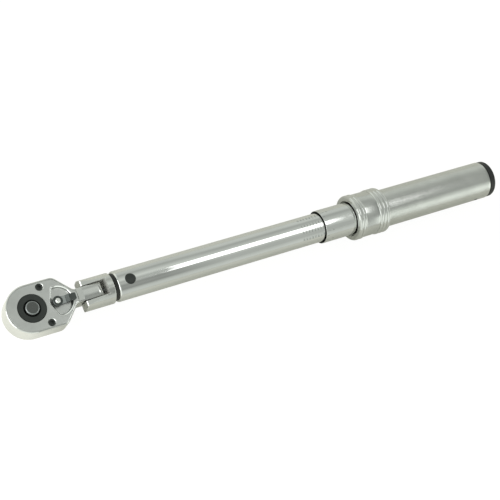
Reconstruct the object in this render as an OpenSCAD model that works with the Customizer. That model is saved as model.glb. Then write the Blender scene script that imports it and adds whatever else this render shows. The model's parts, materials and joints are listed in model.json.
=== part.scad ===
// Flex-head click torque wrench with a 3/8 inch square drive and a micrometer handle.
// All sizes are millimetres.
// The origin is on the drive axis, at the shoulder that a socket seats against.
// +X runs along the handle to the end cap, +Z points out of the head's top face.

/* [Square drive] */
// Square drive across its flats
square_af = 9.525; // [9.4:0.005:9.55]
// Length of the square below the shoulder
square_length = 10.7; // [9.5:0.1:11.5]
// Travel of the socket release button
release_travel = 1.5; // [1:0.1:1.5]

/* [Head] */
// Thickness of the ratchet head
head_thickness = 13.4; // [13.2:0.1:13.8]
// Radius of the head's round nose
nose_r = 17.4; // [17.2:0.1:17.6]
// Radius of the edge between the head's faces and its side
head_edge = 1.2; // [0.8:0.1:1.4]
// Number of ratchet teeth
ratchet_teeth = 48; // [48, 72]
// Distance from the drive axis to the reversing lever's pivot
lever_x = 18.5; // [18.3:0.05:18.7]

/* [Flex joint] */
// Distance from the drive axis to the flex pin
flex_x = 44.3; // [44.2:0.05:44.4]
// Width of the head's tang
tang_width = 9.8; // [9.6:0.1:10]
// Width of the slot between the yoke's arms
slot_width = 11.2; // [10.8:0.1:11.4]

/* [Tube] */
// Outer diameter of the tube
tube_d = 22.2; // [22:0.1:22.2]
// Bore of the tube
tube_bore = 18.6; // [18.6:0.1:18.8]
// Distance from the drive axis to the tube's mouth
tube_x = 62.2; // [62.1:0.1:62.4]
// Distance from the drive axis to the click pivot pin
pivot_x = 71.8; // [71.4:0.1:72.2]

/* [Handle] */
// Distance from the drive axis to the thimble's front edge
thimble_x = 231.7; // [231:0.1:233]
// Diameter of the thimble
thimble_d = 25.2; // [25:0.1:25.4]
// Diameter of the knurled grip
grip_d = 29.2; // [28.8:0.1:29.6]
// Distance from the drive axis to the rear of the grip
grip_end = 388; // [386:0.5:390]

/* [Lock ring] */
// Largest diameter of the lock collar
collar_d = 35.1; // [34.6:0.1:35.4]
// Length of the lock collar
collar_length = 28.7; // [28.5:0.1:29]

/* [Hidden] */
$fn = 96;
fit = 0.05;

// Heights, from the socket shoulder
head_z0 = 0.8;
head_z1 = head_z0 + head_thickness;
axis_z = head_z0 + 6;
floor_z = head_z0 + 2.1;
plate_z = head_z1 - 3.8;
pocket_z = head_z1 - 2.4;

// Head outline: a nose, two corners and two concave necks, joined by tangents
nose_c = [-0.6, 0];
corner_c = [17.6, 10.7];
corner_r = 6.2;
neck_r = 4;
neck_c = [33.5, tang_width / 2 + neck_r];
side_angle = outer_tangent(nose_c, nose_r, corner_c, corner_r);
slope_angle = outer_tangent(corner_c, corner_r, neck_c, -neck_r);
plate_end_r = 14.6;

// Lever pocket in the cover plate
pocket_hub_r = 5.5;
pocket_fan_c = [lever_x + 0.7, 0];
pocket_fan_r = 10.8;
pocket_corner_r = 2.1;
pocket_corner_angle = 97;
pocket_corner_c = pocket_fan_c
    + (pocket_fan_r - pocket_corner_r) * [cos(pocket_corner_angle), sin(pocket_corner_angle)];
pocket_side_angle = 360
    + outer_tangent(pocket_corner_c, pocket_corner_r, [lever_x, 0], pocket_hub_r, -1);

// Ratchet
tooth_tip_r = 11.3;
tooth_root_r = 10.5;
gear_z0 = floor_z + 0.1;
gear_z1 = plate_z - 0.2;
cavity_r = tooth_tip_r + 0.4;
lower_journal_r = 8.95;
upper_journal_r = 9.7;
recess_r = 5.6;
recess_z = 7.5;

// Pawl: it rocks about a point on the head's centre line
pawl_x = 14;
pawl_rock = 7.5;
comb_angles = [24, 38];
pawl_back_x = 14.4;

// Socket release: a conical cam on the button's rod lets the ball in
ball_z = -5.2;
ball_r = 1.6;
ball_x = 3.65;
cam_slope = 0.35;
rod_r = 2.35;
rod_bore_r = rod_r + 2 * fit;
cam_r = ball_x - (ball_r + fit) * sqrt(1 + cam_slope * cam_slope);
neck_rod_r = 1.2;
button_r = 4.9;
button_z0 = 11.6;
button_z1 = head_z1 + 1.8;
rod_end_z = ball_z - 2;

// Reversing lever
lever_hub_r = 3.5;
lever_shaft_r = 2.4;
lever_tip_x = 31.6;
plunger_z = 6.5;
plunger_r = 1.05;
plunger_shank = 2;

// Cover screws
screw_at = [9.65, 13];
screw_head_r = 2.5;
screw_r = 1.5;

// Yoke and flex joint
flex_pin_r = 2.5;
knuckle_r = 8.55;
crown_r = 8.8;
tang_corner = [4, 4.75];
tang_corner_r = knuckle_r - tang_corner.y;
arm_tip_x = 37.4;
arm_corner_r = 2.5;
slot_end_x = 54.6;
yoke_end_x = 59.3;
yoke_neck_r = 8.4;
boss_r = 8.9;
pivot_r = 3.93;
lever_arm = [10, 12];
flex_plunger_r = 1.95;
flex_plunger_x = flex_x + knuckle_r + 4 * fit;
flex_plunger_length = 4.4;

// Click mechanism along the tube
toggle_front_x = 126;
toggle_rear_x = 135;
toggle_r = 2.2;
toggle_h = 10;
socket_depth = 0.2;
plunger_end_x = 150;
seat_x = 222;
spring_wire_r = 1.6;
spring_mean_r = 7;
spigot_r = 5.2;
thrust_ball_r = 2.8;
thrust_ball_x = 230.2;
screw_tip_x = 231;
thread_r = 4.9;
nut_x = [268, 282];
nut_pin_x = 275;
tube_end_x = 310;

// Handle
grip_x = 288;
plug_x = [369, 381];
set_screw_x = 376;
cap_length = 5.2;
grip_bore_r = thimble_d / 2;
grip_relief_r = 13.4;
shank_x = 302;
shank_r = 3.6;
thimble_end_x = 300;

// Lock ring
collar_x = 259;
collar_bore_r = thimble_d / 2 + 2 * fit;
lock_ball_r = 1.5;
lock_ball_x = 269;
lock_ball_out = 12.75;
lock_ball_travel = 0.6;
lock_travel = 3.5;
lock_grooves = 12;
detent_x = 281.5;
detent_wire_r = 0.6;

// ---- Geometry helpers ----

// Angle of the outward normal shared by two circles' common tangent, side = 1 or -1
function outer_tangent(c1, r1, c2, r2, side = 1) =
    let (v = c2 - c1)
    atan2(v.y, v.x) + side * acos((r1 - r2) / norm(v));

function arc(c, r, a0, a1, steps) =
    [for (i = [0:steps]) c + r * [cos(a0 + (a1 - a0) * i / steps), sin(a0 + (a1 - a0) * i / steps)]];

function mirrored(points) =
    [for (i = [len(points) - 1:-1:0]) [points[i].x, -points[i].y]];

// A solid of revolution's own +Z laid along +X, starting at x on the tube's axis
module on_axis(x) {
    translate([x, 0, axis_z]) rotate([0, 90, 0]) children();
}

module rod(x0, x1, r) {
    on_axis(x0) cylinder(h = x1 - x0, r = r);
}

// Points are [radius, x]
module turned(points) {
    on_axis(0) rotate_extrude() polygon(points);
}

module cross_hole(x, r, length) {
    translate([x, 0, axis_z]) rotate([90, 0, 0]) cylinder(h = length, r = r, center = true);
}

module upright(x, z0, z1, r) {
    translate([x, 0, z0]) cylinder(h = z1 - z0, r = r);
}

// A slab seen from the side, extruded across the wrench; points are [x, z]
module side_profile(width) {
    translate([0, width / 2, 0]) rotate([90, 0, 0]) linear_extrude(width) children();
}

// A round wire wound along +Z
module coil(mean_r, wire_r, length, turns, sides = 8, per_turn = 18) {
    rings = turns * per_turn;
    points = [for (i = [0:rings], s = [0:sides - 1])
        let (a = 360 * i / per_turn, b = 360 * s / sides, r = mean_r + wire_r * cos(b))
        [r * cos(a), r * sin(a), wire_r + (length - 2 * wire_r) * i / rings + wire_r * sin(b)]];
    walls = [for (i = [0:rings - 1], s = [0:sides - 1])
        [i * sides + s, i * sides + (s + 1) % sides,
         (i + 1) * sides + (s + 1) % sides, (i + 1) * sides + s]];
    first = [for (s = [sides - 1:-1:0]) s];
    last = [for (s = [0:sides - 1]) rings * sides + s];
    polyhedron(points, concat([first], walls, [last]), convexity = 10);
}

// ---- Head ----

function half_outline(inset) = concat(
    arc(neck_c, neck_r + inset, 270, 180 + slope_angle, 8),
    arc(corner_c, corner_r - inset, slope_angle, side_angle, 8),
    arc(nose_c, nose_r - inset, side_angle, 179, 24));

function head_outline(inset) = concat(half_outline(inset), mirrored(half_outline(inset)));

// The head's outline between its faces, with both edges rounded
module rounded_head() {
    steps = 4;
    quarter = [for (k = [0:steps]) 90 * k / steps];
    lower = [for (a = quarter) [head_z0 + head_edge * (1 - cos(a)), head_edge * (1 - sin(a))]];
    upper = [for (a = quarter) [head_z1 - head_edge * (1 - sin(a)), head_edge * (1 - cos(a))]];
    layers = concat(lower, upper);
    n = len(head_outline(0));
    points = [for (layer = layers, p = head_outline(layer[1])) [p.x, p.y, layer[0]]];
    walls = [for (k = [0:len(layers) - 2], i = [0:n - 1])
        [k * n + i, (k + 1) * n + i, (k + 1) * n + (i + 1) % n, k * n + (i + 1) % n]];
    last = (len(layers) - 1) * n;
    bottom = [for (i = [0:n / 2 - 2]) [i, i + 1, n - 2 - i, n - 1 - i]];
    top = [for (q = bottom) [last + q[3], last + q[2], last + q[1], last + q[0]]];
    polyhedron(points, concat(bottom, walls, top), convexity = 6);
}

module plate_shape() {
    intersection() {
        polygon(head_outline(head_edge));
        union() {
            translate([lever_x, 0]) circle(r = plate_end_r);
            translate([-40, -30]) square([40 + lever_x, 60]);
        }
    }
}

// The tang's rounded end, seen from the side
module tang_end() {
    translate([flex_x, axis_z]) hull() {
        circle(r = knuckle_r);
        for (s = [-1, 1]) translate([tang_corner.x, s * tang_corner.y]) circle(r = tang_corner_r);
    }
}

// The tang that swings in the yoke: flat sides, a crowned top and a round end
module tang() {
    root_x = neck_c.x - 0.2;
    intersection() {
        side_profile(tang_width) {
            tang_end();
            polygon([[root_x, head_z0], [root_x + 3, axis_z - knuckle_r], [flex_x, axis_z - knuckle_r],
                [flex_x, axis_z + knuckle_r], [root_x + 3, axis_z + knuckle_r], [root_x, head_z1]]);
        }
        rod(root_x - 1, flex_x + 10, crown_r);
    }
}

module pawl_cavity() {
    translate([0, -10.2]) square([17, 20.4]);
    translate([lever_x, 0]) circle(r = 4.4);
}

module ratchet_body() {
    color("silver") difference() {
        union() {
            difference() {
                rounded_head();
                translate([0, 0, plate_z]) linear_extrude(10) plate_shape();
            }
            tang();
        }
        upright(0, -1, floor_z + 1, lower_journal_r + fit);
        upright(0, floor_z, plate_z + 1, cavity_r);
        translate([0, 0, floor_z]) linear_extrude(plate_z - floor_z + 1) pawl_cavity();
        upright(lever_x, 1.8, floor_z + 1, lever_shaft_r + fit);
        for (s = [-1, 1]) translate([screw_at.x, s * screw_at.y, 4]) cylinder(h = 8, r = screw_r);
        cross_hole(flex_x, flex_pin_r + fit, tang_width + 2);
    }
}

module pocket_outline() {
    upper = concat(
        arc(pocket_fan_c, pocket_fan_r, 0, pocket_corner_angle, 20),
        arc(pocket_corner_c, pocket_corner_r, pocket_corner_angle, pocket_side_angle, 8),
        arc([lever_x, 0], pocket_hub_r, pocket_side_angle, 179, 8));
    polygon(concat(upper, mirrored(upper)));
}

module cover_plate() {
    chamfer = 0.4;
    color("lightgray") difference() {
        translate([0, 0, plate_z]) linear_extrude(head_z1 - plate_z) plate_shape();
        upright(0, plate_z - 1, head_z1 + 1, upper_journal_r + fit);
        translate([0, 0, head_z1 - chamfer])
            cylinder(h = 2 * chamfer, r1 = upper_journal_r + fit, r2 = upper_journal_r + fit + 2 * chamfer);
        translate([0, 0, pocket_z]) linear_extrude(10) pocket_outline();
        upright(lever_x, plate_z - 1, head_z1, lever_shaft_r + fit);
        for (s = [-1, 1]) translate([screw_at.x, s * screw_at.y, plate_z - 1]) {
            cylinder(h = 6, r = screw_r);
            translate([0, 0, 2.6]) cylinder(h = 5, r = screw_head_r);
            translate([0, 0, head_z1 - plate_z + 1 - chamfer])
                cylinder(h = 2 * chamfer, r1 = screw_head_r, r2 = screw_head_r + 2 * chamfer);
        }
    }
}

// Six-lobed drive recess
module lobed_recess(r, depth) {
    translate([0, 0, -depth]) linear_extrude(depth + 1) {
        circle(r = 0.72 * r);
        for (k = [0:5]) rotate(60 * k) translate([0.72 * r, 0]) circle(r = 0.28 * r, $fn = 24);
    }
}

module cover_screws() {
    top = head_z1 - 0.3;
    color("#2a2a2c") for (s = [-1, 1]) translate([screw_at.x, s * screw_at.y, 0]) difference() {
        union() {
            translate([0, 0, plate_z + 1.6]) cylinder(h = top - plate_z - 1.6, r = screw_head_r);
            translate([0, 0, 4]) cylinder(h = plate_z - 2, r = screw_r);
        }
        translate([0, 0, top]) lobed_recess(1.45, 1.3);
    }
}

// ---- Ratchet gear and square drive ----

function tooth(k) =
    let (pitch = 360 / ratchet_teeth, a = pitch * k)
    [for (p = [[-0.5, tooth_root_r], [-0.12, tooth_tip_r], [0.12, tooth_tip_r]])
        p[1] * [cos(a + p[0] * pitch), sin(a + p[0] * pitch)]];

module gear_outline() {
    polygon([for (k = [0:ratchet_teeth - 1], p = tooth(k)) p]);
}

module square_post() {
    bevel = 0.9;
    intersection() {
        translate([-square_af / 2, -square_af / 2, -square_length])
            cube([square_af, square_af, square_length + 1]);
        union() {
            translate([0, 0, bevel - square_length]) cylinder(h = square_length + 1, r = 0.665 * square_af);
            translate([0, 0, -square_length])
                cylinder(h = bevel, r1 = 0.665 * square_af - bevel, r2 = 0.665 * square_af);
        }
    }
}

module drive_anvil() {
    top = head_z1 + 0.3;
    lip = 0.5;
    color("#303234") difference() {
        union() {
            square_post();
            upright(0, 0, gear_z0 + 0.1, lower_journal_r);
            translate([0, 0, gear_z0]) linear_extrude(gear_z1 - gear_z0) gear_outline();
            upright(0, gear_z1 - 0.1, top, upper_journal_r);
        }
        upright(0, recess_z, top + 1, recess_r);
        translate([0, 0, top - lip]) cylinder(h = 2 * lip, r1 = recess_r, r2 = recess_r + 2 * lip);
        upright(0, rod_end_z - release_travel - 0.2, recess_z + 1, rod_bore_r);
        translate([0, 0, ball_z]) rotate([0, 90, 0]) cylinder(h = 4.5, r = ball_r + fit);
        translate([0, 0, ball_z]) rotate([0, 90, 0]) cylinder(h = 8, r = 1.4);
    }
}

module release_button() {
    cam_foot_z = ball_z - (rod_r - cam_r) / cam_slope;
    cam_top_z = ball_z + (cam_r - neck_rod_r) / cam_slope;
    color("#3c3e40") rotate_extrude() polygon([
        [0, rod_end_z], [rod_r - 0.3, rod_end_z], [rod_r, rod_end_z + 0.3], [rod_r, cam_foot_z],
        [neck_rod_r, cam_top_z], [neck_rod_r, 0], [rod_r, 1.2], [rod_r, button_z0],
        [button_r, button_z0], [button_r, button_z1 - 0.9], [button_r - 0.25, button_z1 - 0.3],
        [button_r - 0.8, button_z1], [0, button_z1]]);
}

module release_spring() {
    color("gray") translate([0, 0, recess_z]) coil(3.6, 0.3, button_z0 - recess_z, 4);
}

module socket_ball() {
    color("gainsboro") translate([ball_x, 0, ball_z]) sphere(r = ball_r, $fn = 48);
}

// ---- Reversing lever and pawl ----

module lever_arm_shape() {
    top = head_z1 + 1.5;
    tab_x = lever_tip_x - 6;
    intersection() {
        side_profile(8) polygon([
            [lever_x + 1, pocket_z + 0.3], [tab_x - 0.6, pocket_z + 0.3], [tab_x + 0.8, head_z1 + 0.2],
            [lever_tip_x, head_z1 + 0.2], [lever_tip_x, top - 0.5], [lever_tip_x - 0.5, top],
            [tab_x + 1, top], [tab_x - 1.4, head_z1 - 0.4], [lever_x + 1, head_z1 - 0.4]]);
        linear_extrude(40) polygon([[lever_x, -2.9], [lever_tip_x - 0.4, -2.2], [lever_tip_x, -1.8],
            [lever_tip_x, 1.8], [lever_tip_x - 0.4, 2.2], [lever_x, 2.9]]);
    }
}

module rivet_shape() {
    translate([lever_x, 0, head_z1]) sphere(r = 2.2, $fn = 48);
    upright(lever_x, plate_z, head_z1, 1.2);
}

module reversing_lever() {
    hub_top = head_z1 + 0.8;
    color("#3a3c3e") difference() {
        union() {
            upright(lever_x, pocket_z + 0.1, hub_top - 0.4, lever_hub_r);
            translate([lever_x, 0, hub_top - 0.4])
                cylinder(h = 0.4, r1 = lever_hub_r, r2 = lever_hub_r - 0.4);
            upright(lever_x, 1.9, pocket_z + 1, lever_shaft_r);
            lever_arm_shape();
        }
        rivet_shape();
        translate([lever_x - 5, 0, plunger_z]) rotate([0, 90, 0]) cylinder(h = 6.4, r = plunger_r + fit);
    }
}

module lever_rivet() {
    color("gainsboro") rivet_shape();
}

module pawl_plunger() {
    nose_x = pawl_back_x + 0.2;
    color("silver") translate([0, 0, plunger_z]) {
        translate([nose_x + plunger_r, 0, 0]) sphere(r = plunger_r, $fn = 48);
        translate([nose_x + plunger_r, 0, 0]) rotate([0, 90, 0]) cylinder(h = plunger_shank, r = plunger_r);
    }
}

module pawl_spring() {
    x0 = pawl_back_x + 0.2 + plunger_r + plunger_shank;
    color("gray") translate([x0, 0, plunger_z]) rotate([0, 90, 0])
        coil(0.75, 0.16, lever_x + 1.4 - x0, 4, 6, 12);
}

module about_pawl_axis(angle) {
    translate([pawl_x, 0]) rotate(angle) translate([-pawl_x, 0]) children();
}

module sector(r, a0, a1) {
    polygon([[0, 0], for (a = [a0:(a1 - a0) / 4:a1 + 0.01]) 1.2 * r * [cos(a), sin(a)]]);
}

// A comb that fits the gear when the pawl has rocked toward it
module pawl_comb(side) {
    about_pawl_axis(-side * pawl_rock) difference() {
        intersection() {
            circle(r = tooth_tip_r + 0.9);
            if (side > 0) sector(tooth_tip_r, comb_angles[0], comb_angles[1]);
            else sector(tooth_tip_r, -comb_angles[1], -comb_angles[0]);
        }
        circle(r = tooth_root_r + 0.28);
        scale(1.01) gear_outline();
    }
}

module pawl_outline() {
    difference() {
        intersection() {
            circle(r = 14.2);
            sector(15, -comb_angles[1], comb_angles[1]);
        }
        circle(r = tooth_tip_r + 0.45);
        for (side = [-1, 1]) about_pawl_axis(side * pawl_rock) circle(r = tooth_tip_r + 0.2);
    }
    translate([12.4, -4]) square([pawl_back_x - 12.4, 8]);
    for (side = [-1, 1]) pawl_comb(side);
}

module pawl() {
    color("dimgray") translate([0, 0, gear_z0 + 0.1]) linear_extrude(gear_z1 - gear_z0 - 0.2) pawl_outline();
}

// ---- Yoke, flex joint and click lever ----

module yoke_side_outline() {
    r = arm_corner_r;
    half = tube_d / 2;
    points = arc([arm_tip_x + r, half - 1 - r], r, 180, 90, 8);
    translate([0, axis_z]) polygon(concat(mirrored(points), points, [[48, half + 1], [90, half + 1],
        [90, -half - 1], [48, -half - 1]]));
}

module yoke_lever() {
    half = tube_d / 2;
    tail_x = toggle_front_x + socket_depth;
    color("gainsboro") difference() {
        union() {
            difference() {
                intersection() {
                    turned([[0, arm_tip_x], [half, arm_tip_x], [half, yoke_end_x - 0.6],
                        [half - 0.6, yoke_end_x], [0, yoke_end_x]]);
                    side_profile(tube_d + 2) yoke_side_outline();
                }
                translate([arm_tip_x - 1, -slot_width / 2, -10])
                    cube([slot_end_x - arm_tip_x + 1, slot_width, 40]);
            }
            rod(yoke_end_x - 1, pivot_x - 7, yoke_neck_r);
            rod(pivot_x - 7.5, pivot_x + 7.5, boss_r);
            translate([pivot_x + 7, -lever_arm.x / 2, axis_z - lever_arm.y / 2])
                cube([tail_x - pivot_x - 7, lever_arm.x, lever_arm.y]);
        }
        cross_hole(flex_x, flex_pin_r, 40);
        upright(pivot_x, axis_z - 12, axis_z + 12, pivot_r + fit);
        rod(slot_end_x - 1, slot_end_x + 7, flex_plunger_r + fit);
        upright(toggle_front_x, axis_z - 10, axis_z + 10, toggle_r + 0.25);
    }
}

module flex_pin() {
    color("#4a4c4e") intersection() {
        cross_hole(flex_x, flex_pin_r, 40);
        rod(arm_tip_x, slot_end_x, tube_d / 2 - 0.05);
    }
}

module flex_plunger() {
    x = flex_plunger_x;
    end = x + flex_plunger_length;
    color("silver") turned([[0, x], [1.1, x], [flex_plunger_r, x + 0.8], [flex_plunger_r, end], [0, end]]);
}

module flex_spring() {
    x0 = flex_plunger_x + flex_plunger_length;
    color("gray") on_axis(x0) coil(1.45, 0.3, slot_end_x + 7 - x0, 4, 8, 12);
}

// ---- Tube ----

module ball_grooves() {
    r = lock_ball_r + 0.1;
    centre_r = lock_ball_out - lock_ball_travel;
    for (k = [0:lock_grooves - 1]) translate([0, 0, axis_z]) rotate([360 * k / lock_grooves, 0, 0])
        translate([lock_ball_x - 20, 0, centre_r]) rotate([0, 90, 0]) cylinder(h = 25, r = r, $fn = 32);
}

module main_tube() {
    r = tube_d / 2;
    bore = tube_bore / 2;
    lip = 1.2;
    color("gainsboro") difference() {
        turned(concat([[bore, tube_x]], [for (a = [0:15:90])
            [r - lip + lip * sin(a), tube_x + lip - lip * cos(a)]],
            [[r, tube_end_x - 0.5], [r - 0.5, tube_end_x], [bore, tube_end_x]]));
        upright(pivot_x, axis_z - 12, axis_z + 12, pivot_r);
        nut_pin_bodies(12);
        ball_grooves();
    }
}

module pivot_pin() {
    color("#2c2e30") intersection() {
        upright(pivot_x, axis_z - 12, axis_z + 12, pivot_r);
        rod(pivot_x - 5, pivot_x + 5, tube_d / 2 - 0.02);
    }
}

module dust_seal() {
    front = yoke_end_x + 0.5;
    inner = yoke_neck_r + 0.45;
    bore = tube_bore / 2;
    color("#161616") turned([[inner, front], [bore + 0.1, front], [bore + 0.5, front + 0.4],
        [bore + 0.5, tube_x], [bore, tube_x], [bore, tube_x + 1.6], [inner, tube_x + 1.6]]);
}

module adjuster_nut() {
    color("dimgray") difference() {
        rod(nut_x[0], nut_x[1], tube_bore / 2);
        rod(nut_x[0] - 1, nut_x[1] + 1, thread_r + fit);
        nut_pin_bodies(12);
    }
}

// Two pins set between the ball grooves, from the tube's surface into the nut
module nut_pin_bodies(outer) {
    for (a = [45, 225]) translate([nut_pin_x, 0, axis_z]) rotate([a, 0, 0])
        translate([0, 0, 6]) cylinder(h = outer - 6, r = 1.5);
}

module nut_pins() {
    color("dimgray") intersection() {
        nut_pin_bodies(12);
        rod(nut_pin_x - 4, nut_pin_x + 4, tube_d / 2 - 0.05);
    }
}

// ---- Click mechanism ----

module toggle_link() {
    z0 = axis_z - toggle_h / 2;
    color("slategray") {
        for (x = [toggle_front_x, toggle_rear_x]) upright(x, z0, z0 + toggle_h, toggle_r);
        translate([toggle_front_x, -1.5, z0]) cube([toggle_rear_x - toggle_front_x, 3, toggle_h]);
    }
}

module spring_plunger() {
    front = toggle_rear_x - socket_depth;
    body_r = tube_bore / 2 - 2 * fit;
    color("slategray") difference() {
        turned([[0, front], [body_r - 1, front], [body_r, front + 1], [body_r, plunger_end_x],
            [spigot_r, plunger_end_x], [spigot_r, plunger_end_x + 9], [spigot_r - 1, plunger_end_x + 10],
            [0, plunger_end_x + 10]]);
        upright(toggle_rear_x, axis_z - 10, axis_z + 10, toggle_r + 2 * fit);
    }
}

module main_spring() {
    color("#55585c") on_axis(plunger_end_x)
        coil(spring_mean_r, spring_wire_r, seat_x - plunger_end_x, 10, 8, 20);
}

module spring_seat() {
    color("slategray") difference() {
        turned([[0, seat_x - 7], [spigot_r - 1, seat_x - 7], [spigot_r, seat_x - 6], [spigot_r, seat_x],
            [9.1, seat_x], [9.1, seat_x + 5], [6, seat_x + 7.5], [0, seat_x + 7.5]]);
        on_axis(thrust_ball_x) sphere(r = thrust_ball_r, $fn = 48);
    }
}

module thrust_ball() {
    color("gainsboro") on_axis(thrust_ball_x) sphere(r = thrust_ball_r, $fn = 48);
}

// ---- Handle ----

module adjusting_screw() {
    color("dimgray") difference() {
        turned([[0, screw_tip_x], [thread_r - 1, screw_tip_x], [thread_r, screw_tip_x + 1],
            [thread_r, shank_x], [shank_r, shank_x], [shank_r, plug_x[0] - 4],
            [7.5, plug_x[0] - 4], [7.5, plug_x[0]], [thread_r, plug_x[0]],
            [thread_r, plug_x[1] + 5], [thread_r - 0.8, plug_x[1] + 5.8], [0, plug_x[1] + 5.8]]);
        on_axis(thrust_ball_x) sphere(r = thrust_ball_r + fit, $fn = 48);
    }
}

module thimble_sleeve() {
    r = thimble_d / 2;
    bore = tube_d / 2 + 0.08;
    land = 0.35;
    color("gainsboro") difference() {
        turned([[bore + 0.7, thimble_x], [r - 0.2, thimble_x], [r, thimble_x + 0.2],
            [r, detent_x - lock_travel - land], [r - 0.2, detent_x - lock_travel],
            [r, detent_x - lock_travel + land], [r, detent_x - land], [r - 0.2, detent_x],
            [r, detent_x + land], [r, thimble_end_x], [bore, thimble_end_x],
            [bore, thimble_x + 1.2], [bore + 0.7, thimble_x + 1.2]]);
        for (k = [0:2]) translate([lock_ball_x, 0, axis_z]) rotate([120 * k, 0, 0])
            translate([0, 0, 8]) cylinder(h = 8, r = lock_ball_r + fit, $fn = 48);
    }
}

module grip_sleeve() {
    r = grip_d / 2;
    color("darkgray") difference() {
        turned([[grip_bore_r, grip_x], [r - 0.6, grip_x], [r, grip_x + 0.6], [r, grip_end - 1],
            [r - 1, grip_end], [grip_bore_r, grip_end], [grip_bore_r, plug_x[0]],
            [grip_relief_r, plug_x[0] - 0.8], [grip_relief_r, thimble_end_x + 0.8],
            [grip_bore_r, thimble_end_x]]);
        set_screw_hole();
    }
}

module set_screw_hole() {
    translate([set_screw_x, 0, axis_z]) rotate([90, 0, 0]) translate([0, 0, 7.5]) cylinder(h = 12, r = 1.6);
}

module grip_plug() {
    color("dimgray") difference() {
        rod(plug_x[0], plug_x[1], grip_bore_r);
        rod(plug_x[0] - 1, plug_x[1] + 1, thread_r);
        set_screw_hole();
    }
}

module grip_set_screw() {
    color("#202020") difference() {
        translate([set_screw_x, 0, axis_z]) rotate([90, 0, 0]) translate([0, 0, 7.5])
            cylinder(h = 5.7, r = 1.6);
        translate([set_screw_x, 0, axis_z]) rotate([90, 0, 0]) translate([0, 0, 11.2])
            cylinder(h = 4, r = 0.85, $fn = 6);
    }
}

module lock_nut() {
    color("gray") on_axis(plug_x[1]) difference() {
        cylinder(h = 5, r = 7.5, $fn = 6);
        translate([0, 0, -1]) cylinder(h = 7, r = thread_r);
    }
}

module end_cap() {
    r = grip_d / 2 - 0.3;
    edge = 1.8;
    end = grip_end + cap_length;
    color("#1a1a1a") turned(concat([[0, end]], [[0, grip_end + 1.5], [grip_bore_r - 2.5, grip_end + 1.5],
        [grip_bore_r - 2.5, plug_x[1] + 0.5], [grip_bore_r, plug_x[1] + 0.5], [grip_bore_r, grip_end],
        [r, grip_end]], [for (a = [0:15:90]) [r - edge + edge * cos(a), end - edge + edge * sin(a)]]));
}

// ---- Lock ring ----

// Radius of the collar's ends, flat waist and beads; a bead is a half-round ridge
function bead(x, width, waist_r, crest_r) = [for (a = [0:20:180])
    [waist_r + (crest_r - waist_r) * sin(a), x + width * (1 - cos(a)) / 2]];

module lock_collar() {
    crest = collar_d / 2;
    valley = crest - 0.9;
    waist = crest - 0.6;
    width = 3.1;
    rear = collar_x + collar_length;
    ball_relief_r = lock_ball_out + lock_ball_r + 0.15;
    lock_land_r = lock_ball_out - lock_ball_travel + lock_ball_r + 0.2;
    x = lock_ball_x;
    color("silver") turned(concat(
        [[15, collar_x + 4.3], [15, collar_x + 0.4], [valley - 0.6, collar_x]],
        bead(collar_x + 0.4, width, valley, crest),
        bead(collar_x + 0.4 + width, width, valley, crest),
        [[waist, collar_x + 1.4 + 2 * width], [waist, rear - 1.4 - 3 * width]],
        bead(rear - 0.4 - 3 * width, width, valley, crest),
        bead(rear - 0.4 - 2 * width, width, valley, crest),
        bead(rear - 0.4 - width, width, valley, crest),
        [[valley - 0.6, rear], [collar_bore_r, rear],
         [collar_bore_r, detent_x + 0.8], [14.1, detent_x + 0.8], [14.1, detent_x - 0.8],
         [collar_bore_r, detent_x - 0.8], [collar_bore_r, x + 5.8], [lock_land_r, x + 5.8],
         [lock_land_r, x + 2.8], [ball_relief_r, x + 1.5], [ball_relief_r, x - 2],
         [collar_bore_r, x - 2], [collar_bore_r, collar_x + 4.3]]));
}

module detent_ring() {
    r = thimble_d / 2 + detent_wire_r + fit;
    color("gray") on_axis(detent_x) rotate_extrude(angle = 330) translate([r, 0])
        circle(r = detent_wire_r, $fn = 24);
}

module lock_ball(k) {
    color("gainsboro") translate([lock_ball_x, 0, axis_z]) rotate([120 * k, 0, 0])
        translate([0, 0, lock_ball_out]) sphere(r = lock_ball_r, $fn = 48);
}

ratchet_body();
cover_plate();
cover_screws();
drive_anvil();
release_button();
release_spring();
socket_ball();
reversing_lever();
lever_rivet();
pawl_plunger();
pawl_spring();
pawl();
yoke_lever();
flex_pin();
flex_plunger();
flex_spring();
main_tube();
pivot_pin();
dust_seal();
adjuster_nut();
nut_pins();
toggle_link();
spring_plunger();
main_spring();
spring_seat();
thrust_ball();
adjusting_screw();
thimble_sleeve();
grip_sleeve();
grip_plug();
grip_set_screw();
lock_nut();
end_cap();
lock_collar();
detent_ring();
lock_ball(0);  // lock_ball_1
lock_ball(1);  // lock_ball_2
lock_ball(2);  // lock_ball_3
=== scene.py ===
"""Looks of a flex-head click torque wrench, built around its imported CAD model.

Lengths are metres, in the frame of the CAD part: +X along the handle, +Z out of the head's face.
Turned pieces are lathed again at a finer resolution. The head, the fork and the knurled grip are
remade in mesh code. The other visible nodes are copied with rounded edges. What is hidden inside
keeps its CAD solid with a procedural steel.
"""
import json
import math

import bmesh
import bpy
from mathutils import Matrix, Vector
from mathutils.geometry import tessellate_polygon


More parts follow.
